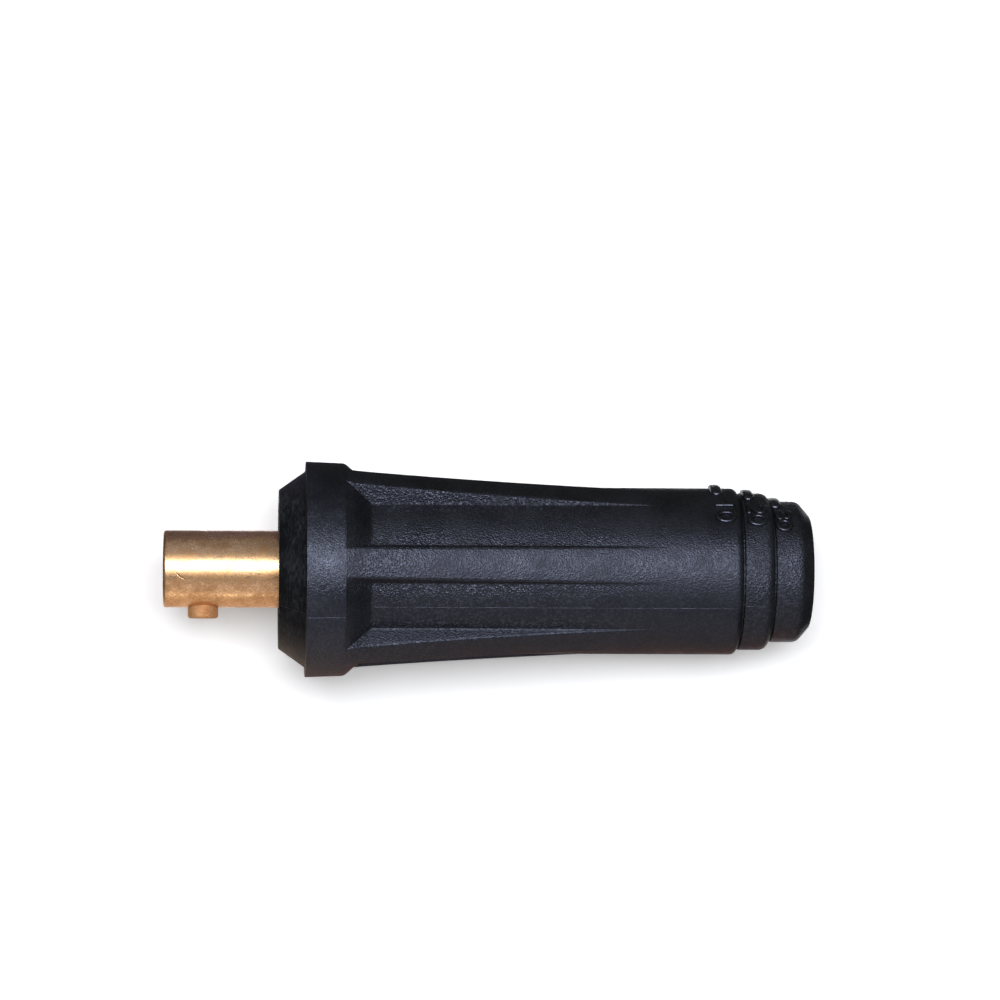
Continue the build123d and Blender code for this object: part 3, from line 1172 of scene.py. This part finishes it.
@dataclass(frozen=True)
class PartingFlash(Piece):
    """Thin broken line of rubber left where the two halves of the mould met, along both sides.

    Attributes:
        sleeve: Sizes of the sleeve.
        width: Width of the line, in mm.
        lift: Greatest height over the rubber, in mm.
        sink: Greatest depth of its foot in the rubber, in mm.
        collar_lift: How much higher it is on the collar.
        polish: How much it mirrors, where one is plain rubber.
        turns: Turns of the near and the far line, in degrees.
        seed: Seed of the heights.
    """

    BODY = Body.SLEEVE

    sleeve: SleeveSize
    width: float = 0.16
    lift: float = 0.07
    sink: float = 0.05
    collar_lift: float = 1.6
    polish: float = 1.6
    turns: tuple[float, float] = (-25.3, 154.7)
    seed: int = 7

    def build(self) -> None:
        """Adds the line on each side: a low ridge swept along the outline, its height broken at random."""
        outline = rounded_outline(self.sleeve.outside[1:-1], 0.35)[2:-2]
        run = np.gradient(outline, axis=0)
        run /= np.linalg.norm(run, axis=1)[:, None]
        heights = np.random.default_rng(self.seed).uniform(0.15, 1.0, len(outline)) ** 1.5
        on_collar = (outline[:, 0] > self.sleeve.collar_front) & (outline[:, 0] < self.sleeve.collar_back)
        heights[on_collar] *= self.collar_lift
        heights[[0, -1]] = 0
        angle = np.linspace(0, 2 * math.pi, 8, endpoint=False)
        lift = np.where(np.sin(angle) > 0, self.lift, self.sink) * np.sin(angle) * heights[:, None]
        across = np.cos(angle) * self.width / 2 * np.minimum(1, heights * 4)[:, None]
        station = outline[:, :1] - run[:, 1:] * lift
        radius = outline[:, 1:] + run[:, :1] * lift
        for side, turn in zip(("near", "far"), self.turns):
            points = self.axis.place(station, radius, turn + np.degrees(across / radius))
            marks = {"polish": np.full(points.shape[:2], self.polish)}
            finish_piece(add_grid(f"parting_flash_{side}", points, marks=marks), self.BODY, Slot.RUBBER, self.look)


# Contact


@dataclass(frozen=True)
class ContactSize:
    """Brass contact, in mm. The stations count from the tip of the pin."""

    pin_radius: float = 6.49
    tip_round: float = 0.5
    vent_station: float = 6.7
    vent_radius: float = 0.8
    vent_depth: float = 2.0
    flange_front: float = 20.3
    flange_back: float = 24.8
    flange_across_flats: float = 22.0
    flange_corner_radius: float = 12.302
    flange_bevel: float = 0.5
    barrel_radius: float = 10.5
    barrel_end: float = 62.0
    barrel_bevel: float = 0.6
    bore_radius: float = 6.3
    bore_depth: float = 30.0
    bore_mouth: float = 0.8
    drill_point: float = 3.785
    hole_stations: tuple[float, float] = (40.0, 52.5)
    hole_radius: float = 5.0
    hole_mouth: float = 0.4
    hole_floor: float = 6.6
    thread_pitch: float = 1.5
    thread_depth: float = 0.25
    overlap: float = 0.5


@dataclass(frozen=True)
class BrassContact(Piece):
    """Pin, hexagonal flange and barrel, which together are one turned piece.

    Attributes:
        size: Sizes of the contact.
    """

    BODY = Body.CONTACT

    size: ContactSize

    def add_pin(self) -> bpy.types.Object:
        """Adds the pin: a profile turned about the axis, sunk inside the round of its vent hole."""
        size = self.size
        vent_start, vent_end = size.vent_station - 1, size.vent_station + 1
        tip = rounded_outline([(0, 0, 0), (0, size.pin_radius, size.tip_round), (vent_start, size.pin_radius, 0)])
        near = np.linspace(vent_start, vent_end, 21)[1:-1]
        near = np.column_stack((near, np.full_like(near, size.pin_radius)))
        root = size.flange_front + size.flange_bevel
        back = rounded_outline([(vent_end, size.pin_radius, 0), (root, size.pin_radius, 0), (root, 0, 0)])
        outline = np.vstack((tip, near, back))
        even, at_vent = np.arange(0, 360, 4.0), np.arange(80.75, 99.5, 0.75)
        turn = np.unique(np.concatenate((even, at_vent)))
        station, radius = outline[:, :1], outline[:, 1:]
        off_vent = np.hypot(station - size.vent_station, size.pin_radius * np.radians(turn - 90))
        sunk = np.clip((size.vent_radius - off_vent) / 0.1, 0, 1) * size.vent_depth
        radius = np.where(radius > size.pin_radius - 1e-6, radius - sunk, radius)
        return add_grid("contact_pin", self.axis.place(station, radius, turn))

    def add_flange(self) -> bpy.types.Object:
        """Adds the flange: a hexagon whose corners are cut by a circle and bevelled at the front."""
        size = self.size
        hexagon = Hexagon(size.flange_across_flats, size.flange_corner_radius)
        turn = hexagon.turns(7, 7)
        cut = size.flange_corner_radius - size.flange_bevel
        front, back = size.flange_front, size.flange_back
        station = np.array((front, front, front, front + size.flange_bevel, back, back))[:, None]
        limit = np.array((0, 5, cut, size.flange_corner_radius, size.flange_corner_radius, 0))[:, None]
        radius = np.minimum(hexagon.radius(turn), limit)
        return add_grid("contact_flange", self.axis.place(station, radius, turn), crisp=25)

    def hole_grid(self, station: float, half_length: float, edge_turn: float, steps: int) -> Array:
        """Fills the square round a cross hole, then goes down its bevelled mouth and threaded wall to its floor.

        Args:
            station: Station of the hole's middle, in mm.
            half_length: Half length of the square along the axis, in mm.
            edge_turn: Turn of the square's sides, in degrees.
            steps: Number of steps along each side of the square.

        Returns:
            Points in rows that are rings about the hole.
        """
        size = self.size
        along = np.linspace(-half_length, half_length, steps + 1)[:-1]
        aside = size.barrel_radius * np.sin(np.radians(np.linspace(-edge_turn, edge_turn, steps + 1)[:-1]))
        edge = np.full(steps, 1.0)
        square_along = np.concatenate((along, half_length * edge, -along, -half_length * edge))
        square_aside = np.concatenate((aside[0] * edge, aside, -aside[0] * edge, -aside))
        angle = np.arctan2(square_aside, square_along)
        rows = []
        for share in (0, 0.4, 0.8, 0.97, 1):
            rim = size.hole_radius + size.hole_mouth
            ring_along = square_along * (1 - share) + rim * np.cos(angle) * share
            ring_aside = square_aside * (1 - share) + rim * np.sin(angle) * share
            rows.append((ring_along, ring_aside, np.sqrt(size.barrel_radius**2 - ring_aside**2)))
        saddle = np.sqrt(size.barrel_radius**2 - (size.hole_radius * np.sin(angle)) ** 2) - size.hole_mouth
        for share in np.linspace(0, 1, 22):
            height = saddle * (1 - share) + size.hole_floor * share
            groove = size.thread_depth * triangle_wave(height / size.thread_pitch + angle / (2 * math.pi))
            radius = size.hole_radius + groove * min(1, 8 * share)
            rows.append((radius * np.cos(angle), radius * np.sin(angle), height))
        rows.append((0 * angle, 0 * angle, size.hole_floor + 0 * angle))
        grid = [self.axis.spot(station + ring_along, ring_aside, height) for ring_along, ring_aside, height in rows]
        return np.stack(grid)

    def add_barrel(self) -> bpy.types.Object:
        """Adds the barrel from patches that share their edges: plain rings, the squares round the cross
        holes, the band beside them, and the bore for the strands."""
        size = self.size
        first, second = size.hole_stations
        half_length, steps, edge_turn = (second - first) / 2, 16, 43.0
        start, end = first - half_length, second + half_length
        side = np.linspace(edge_turn, 360 - edge_turn, 49)
        turn = np.concatenate((np.linspace(-edge_turn, edge_turn, steps + 1), side[1:-1]))
        middle = first + half_length
        band = np.concatenate((np.linspace(start, middle, steps + 1), np.linspace(middle, end, steps + 1)[1:]))
        root = size.flange_back - size.overlap
        front = np.array(((root, 0), (root, size.barrel_radius), (start, size.barrel_radius)))
        bore_bottom = size.barrel_end - size.bore_depth
        back = rounded_outline(
            [
                (end, size.barrel_radius, 0),
                (size.barrel_end - size.barrel_bevel, size.barrel_radius, 0.1),
                (size.barrel_end, size.barrel_radius - size.barrel_bevel, 0.1),
                (size.barrel_end, size.bore_radius + size.bore_mouth, 0.1),
                (size.barrel_end - size.bore_mouth, size.bore_radius, 0.1),
                (bore_bottom, size.bore_radius, 0.1),
                (bore_bottom - size.drill_point, 0, 0),
            ],
            3.0,
        )
        grids = [
            (self.axis.place(front[:, :1], front[:, 1:], turn), True),
            (self.axis.place(back[:, :1], back[:, 1:], turn), True),
            (self.axis.place(band[:, None], np.float64(size.barrel_radius), side), False),
        ]
        grids += [(self.hole_grid(station, half_length, edge_turn, steps), True) for station in size.hole_stations]
        points, quads = join_grids(grids)
        return add_mesh("contact_barrel", points, quads, crisp=35)

    def build(self) -> None:
        """Adds the contact."""
        for piece in (self.add_pin(), self.add_flange(), self.add_barrel()):
            finish_piece(piece, self.BODY, Slot.BRASS, self.look, "contact_plug")


@dataclass(frozen=True)
class BayonetKey(Piece):
    """Round key pressed into the side of the pin, in mm from the plug's axis.

    Attributes:
        station: Station of its middle.
        radius: Its radius.
        inner_end: Its inner end, on the far side of the axis.
        outer_end: Its outer end.
        inner_round: Round of its inner edge.
        edge_round: Round of its outer edge.
    """

    station: float = 6.7
    radius: float = 2.55
    inner_end: float = -2.5
    outer_end: float = 8.3
    inner_round: float = 0.3
    edge_round: float = 0.5

    def build(self) -> None:
        """Adds the key: a profile turned about its own axis, towards -Y."""
        corners = [
            (self.inner_end, 0, 0),
            (self.inner_end, self.radius, self.inner_round),
            (self.outer_end, self.radius, self.edge_round),
            (self.outer_end, 0, 0),
        ]
        outline = rounded_outline(corners, 1.0)
        angle = np.linspace(0, 2 * math.pi, 64, endpoint=False)
        reach, radius = outline[:, :1], outline[:, 1:]
        points = self.axis.spot(self.station + radius * np.cos(angle), -reach, radius * np.sin(angle))
        finish_piece(add_grid("bayonet_key_pin", points), Body.CONTACT, Slot.KEY_BRASS, self.look, "bayonet_key")


@dataclass(frozen=True)
class ClampLiner(Piece):
    """Copper strip curled round the far side of the bore, in mm and degrees."""

    front: float = 34.0
    back: float = 56.5
    inner_radius: float = 5.75
    thickness: float = 0.5
    wrap: float = 220.0
    edge_round: float = 0.12

    def build(self) -> None:
        """Adds the strip: a long thin loop in the plane of station and radius, swept round the axis."""
        outer_radius = self.inner_radius + self.thickness
        middle = (self.front + self.back) / 2
        corners = [
            (middle, self.inner_radius, 0),
            (self.back, self.inner_radius, self.edge_round),
            (self.back, outer_radius, self.edge_round),
            (self.front, outer_radius, self.edge_round),
            (self.front, self.inner_radius, self.edge_round),
            (middle, self.inner_radius, 0),
        ]
        loop = rounded_outline(corners, 4.0)[:-1]
        turn = np.linspace(180 - self.wrap / 2, 180 + self.wrap / 2, 61)[:, None]
        loops = np.repeat(loop[None], len(turn), axis=0)
        station = np.vstack((np.full(len(loop), middle), loops[..., 0], np.full(len(loop), middle)))
        radius = np.vstack((np.full(len(loop), outer_radius), loops[..., 1], np.full(len(loop), outer_radius)))
        turn = np.vstack((turn[:1], turn, turn[-1:]))
        strip = add_grid("clamp_strip", self.axis.place(station, radius, turn), crisp=40)
        finish_piece(strip, Body.CONTACT, Slot.COPPER, self.look, "clamp_liner")


@dataclass(frozen=True)
class ClampScrew(Piece):
    """Screw with a hexagonal socket and no head, in mm.

    Attributes:
        body: Body that it rides on.
        node: CAD node that it stands for.
        station: Station of its axis on the plug's axis.
        top: Distance of its top from the plug's axis.
        radius: Radius over the thread.
        length: Its length.
        bevel: Bevel of both ends.
        pitch: Pitch of the thread.
        thread_depth: Depth of the thread.
        socket_across_flats: Size of the socket.
        socket_depth: Depth of the socket.
        socket_bevel: Bevel of its mouth.
        drill_point: Depth of the drill's point below it.
    """

    body: Body
    node: str
    station: float
    top: float = 9.428
    radius: float = 4.95
    length: float = 8.0
    bevel: float = 1.0
    pitch: float = 1.5
    thread_depth: float = 0.6
    socket_across_flats: float = 5.0
    socket_depth: float = 4.0
    socket_bevel: float = 0.15
    drill_point: float = 0.8

    def build(self) -> None:
        """Adds the screw: rings from the socket's floor, over the top and down the thread to the other end.

        The thread is a triangle wave of depth and angle, kept inside the bevels of both ends.
        """
        corner_radius = self.socket_across_flats / 2 / math.cos(math.radians(30))
        hexagon = Hexagon(self.socket_across_flats, corner_radius)
        turn = hexagon.turns(1, 9)
        wall = hexagon.radius(turn)
        rim = self.radius - self.bevel
        down = np.linspace(0, self.length, 81)[1:-1, None]
        thread = self.radius - self.thread_depth * triangle_wave(down / self.pitch + turn / 360)
        thread = np.minimum(thread, rim + np.minimum(down, self.length - down))
        even = np.ones_like(turn)
        mouth = wall + self.socket_bevel
        radius = np.vstack((0 * even, wall, wall, mouth, rim * even, thread, rim * even, 0 * even))
        tops = (self.socket_depth + self.drill_point, self.socket_depth, self.socket_bevel, 0, 0)
        tops = np.array(tops)[:, None]
        depth = np.vstack((tops, down, np.full((2, 1), self.length)))
        angle = np.radians(turn)
        points = self.axis.spot(self.station + radius * np.cos(angle), radius * np.sin(angle), self.top - depth)
        screw = add_grid(f"{self.node}_threaded", points, crisp=40)
        finish_piece(screw, self.body, Slot.SCREW_STEEL, self.look, self.node)


# Table, lamps and camera


@dataclass(frozen=True)
class Lamp:
    """Soft rectangular lamp.

    Attributes:
        name: Name of the lamp.
        place: Where it stands, in metres.
        size: Width and height, in metres.
        power: Power in watts.
        colour: Colour of its light.
    """

    name: str
    place: tuple[float, float, float]
    size: tuple[float, float]
    power: float
    colour: str = "#ffffff"

    def build(self, target: Vector) -> None:
        """Adds the lamp, turned to the target.

        Args:
            target: Point that it shines at, in metres.
        """
        data = bpy.data.lights.new(self.name, "AREA")
        data.shape = "RECTANGLE"
        data.size, data.size_y = self.size
        data.energy = self.power
        data.color = srgb(self.colour)[:3]
        lamp = add_object(self.name, data)
        lamp.location = self.place
        lamp.rotation_euler = (target - Vector(self.place)).to_track_quat("-Z", "Y").to_euler()


@dataclass(frozen=True)
class Card:
    """Coloured card beside the plug, which shows only in what mirrors it and shapes its glare.

    Attributes:
        name: Name of the card.
        compass: Direction in which it lies from the plug, in degrees from +X towards +Y.
        near: Distance and height of its near edge, in metres.
        far: The same of its far edge.
        colour: Linear colour that it glows with.
        span: Reach to the right and to the left of that direction, in metres.
    """

    name: str
    compass: float
    near: tuple[float, float]
    far: tuple[float, float]
    colour: tuple[float, float, float]
    span: tuple[float, float] = (-0.5, 0.5)

    def build(self) -> None:
        """Adds the card, which no camera, lamp or soft light meets."""
        (near, low), (far, high), (right, left) = self.near, self.far, self.span
        corners = np.array([(near, right, low), (near, left, low), (far, left, high), (far, right, high)])
        turned = corners @ np.array(Matrix.Rotation(math.radians(-self.compass), 3, "Z"))
        material = bpy.data.materials.new(self.name)
        tree = new_tree(material)
        glow = add_node(tree, "Emission", {"Color": (*self.colour, 1.0), "Strength": 1.0})
        add_node(tree, "OutputMaterial", {"Surface": glow.outputs[0]})
        card = add_panel(self.name, turned, material)
        card.visible_camera = card.visible_diffuse = card.visible_shadow = card.visible_transmission = False


@dataclass(frozen=True)
class Studio:
    """White table and plain soft light."""

    lamps: tuple[Lamp, ...] = (
        Lamp("key_lamp", (0.03, 0.18, 0.95), (0.7, 0.36), 10.2, "#fafbff"),
        Lamp("warm_fill", (0.0, -0.8, 0.12), (1.2, 0.12), 0.9, "#fff0e0"),
    )
    cards: tuple[Card, ...] = (
        Card("dark_card", 90, (0.019, 0.0004), (0.4, 0.14), (0.05, 0.05, 0.048), (-0.5, 0.033)),
        Card("red_card", -90, (0.019, 0.0004), (0.035, 0.0012), (0.34, 0.2, 0.17), (-0.033, 0.5)),
        Card("brown_card", -90, (0.035, 0.0012), (0.6, 0.02), (0.36, 0.28, 0.26), (-0.033, 0.5)),
        Card("sky_card", -90, (0.25, 0.06), (0.19, 0.35), (0.42, 0.42, 0.5), (-0.033, 0.5)),
        Card("front_card", 180, (0.08, 0.0008), (0.5, 0.08), (0.04, 0.04, 0.04)),
        Card("rear_card", 0, (0.06, 0.0008), (0.5, 0.16), (0.04, 0.04, 0.04)),
        Card("pin_grey_card", 90, (0.014, 0.0004), (0.3, 0.02), (0.13, 0.12, 0.17), (0.033, 0.08)),
        Card("pin_low_card", 90, (0.25, 0.019), (0.25, 0.11), (0.36, 0.38, 0.46), (0.03, 0.08)),
        Card("pin_high_card", 90, (0.25, 0.11), (0.19, 0.35), (0.56, 0.6, 0.76), (0.03, 0.08)),
        Card("pin_brown_card", -90, (0.014, 0.0004), (0.3, 0.012), (0.73, 0.57, 0.46), (-0.08, -0.033)),
        Card("pin_warm_card", -90, (0.25, 0.08), (0.19, 0.35), (1.05, 0.9, 0.82), (-0.08, -0.03)),
    )
    lamp_target: tuple[float, float, float] = (0.0, 0.0, 0.015)
    table_size: float = 6.0
    world_strength: float = 0.17
    table_glow: float = 0.27

    def build(self) -> None:
        """Adds the table, the lamps, the cards and the world."""
        half = self.table_size / 2
        corners = np.array([(-half, -half, 0), (half, -half, 0), (half, half, 0), (-half, half, 0)])
        table = add_panel("table", corners, self.table_look())
        for lamp in self.lamps:
            lamp.build(Vector(self.lamp_target))
        for card in self.cards:
            card.build()
        self.build_world()

    def table_look(self) -> bpy.types.Material:
        """Makes the white table: matt, and lifted to white where it is seen or mirrored, with its shadow kept."""
        material = bpy.data.materials.new("white_table")
        tree = new_tree(material)
        seen = self.ray_share(tree, "Is Camera Ray", "Is Glossy Ray", "Is Transmission Ray")
        glow = add_node(tree, "Math", {0: seen, 1: self.table_glow}, operation="MULTIPLY").outputs[0]
        matt = add_node(tree, "BsdfDiffuse", {"Color": (0.9, 0.9, 0.9, 1.0)})
        white = add_node(tree, "Emission", {"Color": (1.0, 1.0, 1.0, 1.0), "Strength": glow})
        mix = add_node(tree, "AddShader", {0: matt.outputs[0], 1: white.outputs[0]})
        add_node(tree, "OutputMaterial", {"Surface": mix.outputs[0]})
        return material

    @staticmethod
    def ray_share(tree: Tree, *kinds: str) -> Socket:
        """Gives one for rays of some kinds, and nought for the others.

        Args:
            tree: Node tree of the material or world.
            *kinds: Outputs of the light path node.

        Returns:
            The socket with one or nought.
        """
        path = add_node(tree, "LightPath")
        total = path.outputs[kinds[0]]
        for kind in kinds[1:]:
            total = add_node(tree, "Math", {0: total, 1: path.outputs[kind]}, operation="ADD").outputs[0]
        return total

    def build_world(self) -> None:
        """Makes the world: white behind the table for the camera, and a low even light for the rest."""
        world = bpy.data.worlds.new("studio")
        bpy.context.scene.world = world
        world.use_nodes = True
        tree = world.node_tree
        tree.nodes.clear()
        seen = self.ray_share(tree, "Is Camera Ray", "Is Transmission Ray")
        levels = {"Value": seen, "To Min": self.world_strength, "To Max": 1.0}
        strength = add_node(tree, "MapRange", levels).outputs[0]
        background = add_node(tree, "Background", {"Color": (1.0, 1.0, 1.0, 1.0), "Strength": strength})
        add_node(tree, "OutputWorld", {"Surface": background.outputs[0]})


@dataclass(frozen=True)
class Camera:
    """Camera straight above the plug.

    Attributes:
        place: Where it stands, in metres.
        lens: Focal length for a sensor 36 mm wide.
        roll: Clockwise turn of what it sees, in degrees.
    """

    place: tuple[float, float, float] = (0.00205, 0.01188, 0.759)
    lens: float = 158.4
    roll: float = 0.34

    def build(self) -> None:
        """Adds the camera, looking straight down with +Y up in the picture."""
        data = bpy.data.cameras.new("camera")
        data.lens = self.lens
        data.sensor_width = 36.0
        data.clip_start, data.clip_end = 0.01, 50.0
        camera = add_object("camera", data)
        camera.matrix_world = Matrix.Translation(self.place) @ Matrix.Rotation(math.radians(self.roll), 4, "Z")
        bpy.context.scene.camera = camera


def main() -> None:
    """Builds the scene in order."""
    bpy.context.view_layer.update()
    axis = find_axis()
    rubber = RubberLook().build(axis)
    brass = BrassLook().build(axis)
    key_brass = BrassLook(bright="#deb487", dull="#c6986a", roughness=(0.78, 0.88)).build(axis, "drawn_brass")
    copper = PlainMetalLook("annealed_copper", "#c47a56", (0.3, 0.45)).build()
    steel = PlainMetalLook("blackened_steel", "#55585c", (0.3, 0.45)).build()
    sleeve, contact = SleeveSize(), ContactSize()
    front, rear = contact.hole_stations
    pieces = (
        RubberSleeve(axis, rubber, sleeve),
        CableSizeMarks(axis, rubber, sleeve, MarkSize()),
        PartingFlash(axis, rubber, sleeve),
        BrassContact(axis, brass, contact),
        BayonetKey(axis, key_brass),
        ClampLiner(axis, copper),
        ClampScrew(axis, steel, Body.FRONT_SCREW, "clamp_screw_front", front),
        ClampScrew(axis, steel, Body.REAR_SCREW, "clamp_screw_rear", rear),
    )
    for piece in pieces:
        piece.build()
    Studio().build()
    Camera().build()
    scene = bpy.context.scene
    scene.view_settings.view_transform = "Standard"
    bpy.context.view_layer.update()


if __name__ == "__main__":
    main()
